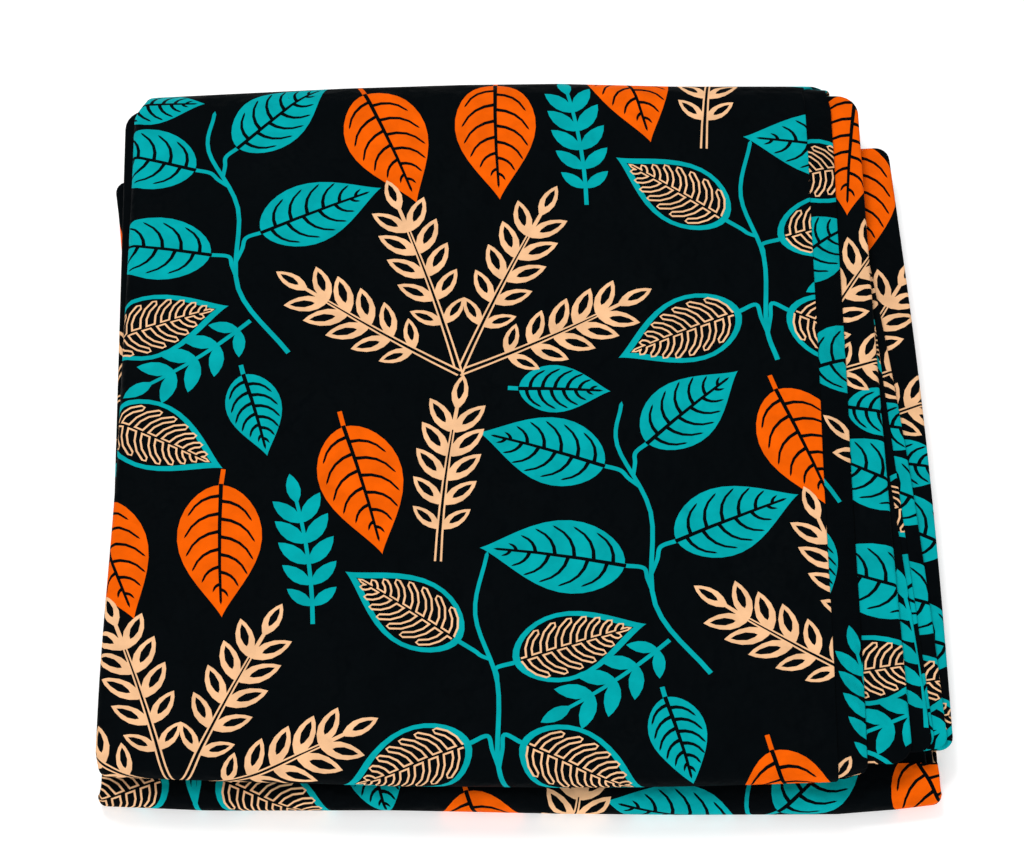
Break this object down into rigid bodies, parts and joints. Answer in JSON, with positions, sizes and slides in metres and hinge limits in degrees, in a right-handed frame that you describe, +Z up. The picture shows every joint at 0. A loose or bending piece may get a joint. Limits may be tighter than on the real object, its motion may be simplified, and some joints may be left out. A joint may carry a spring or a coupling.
{
  "type": "folded wax print fabric",
  "caption": "Length of wax print cloth with a leaf print, folded flat into a thick packet with a rounded front, a rounded spine and fold edges that fan out on one side",
  "frame": {"origin": "centre of the bounding box, on the surface that the packet lies on", "axes": "+X to the right, where the fold edges fan out; +Y to the spine, away from the rounded noses; +Z up"},
  "size_m": [0.4218, 0.406, 0.0425],
  "materials": {
    "wax_print": "smooth plain-weave cotton with a slight wax sheen, near-black ground printed teal, orange and cream"
  },
  "bodies": {
    "root": {"outer_wrap": "wax_print", "upper_layers": "wax_print", "first_panel": "wax_print", "second_panel": "wax_print", "third_panel": "wax_print", "fourth_panel": "wax_print", "middle_panel": "wax_print", "spine_layers": "wax_print", "lower_layers": "wax_print"}
  },
  "joints": []
}
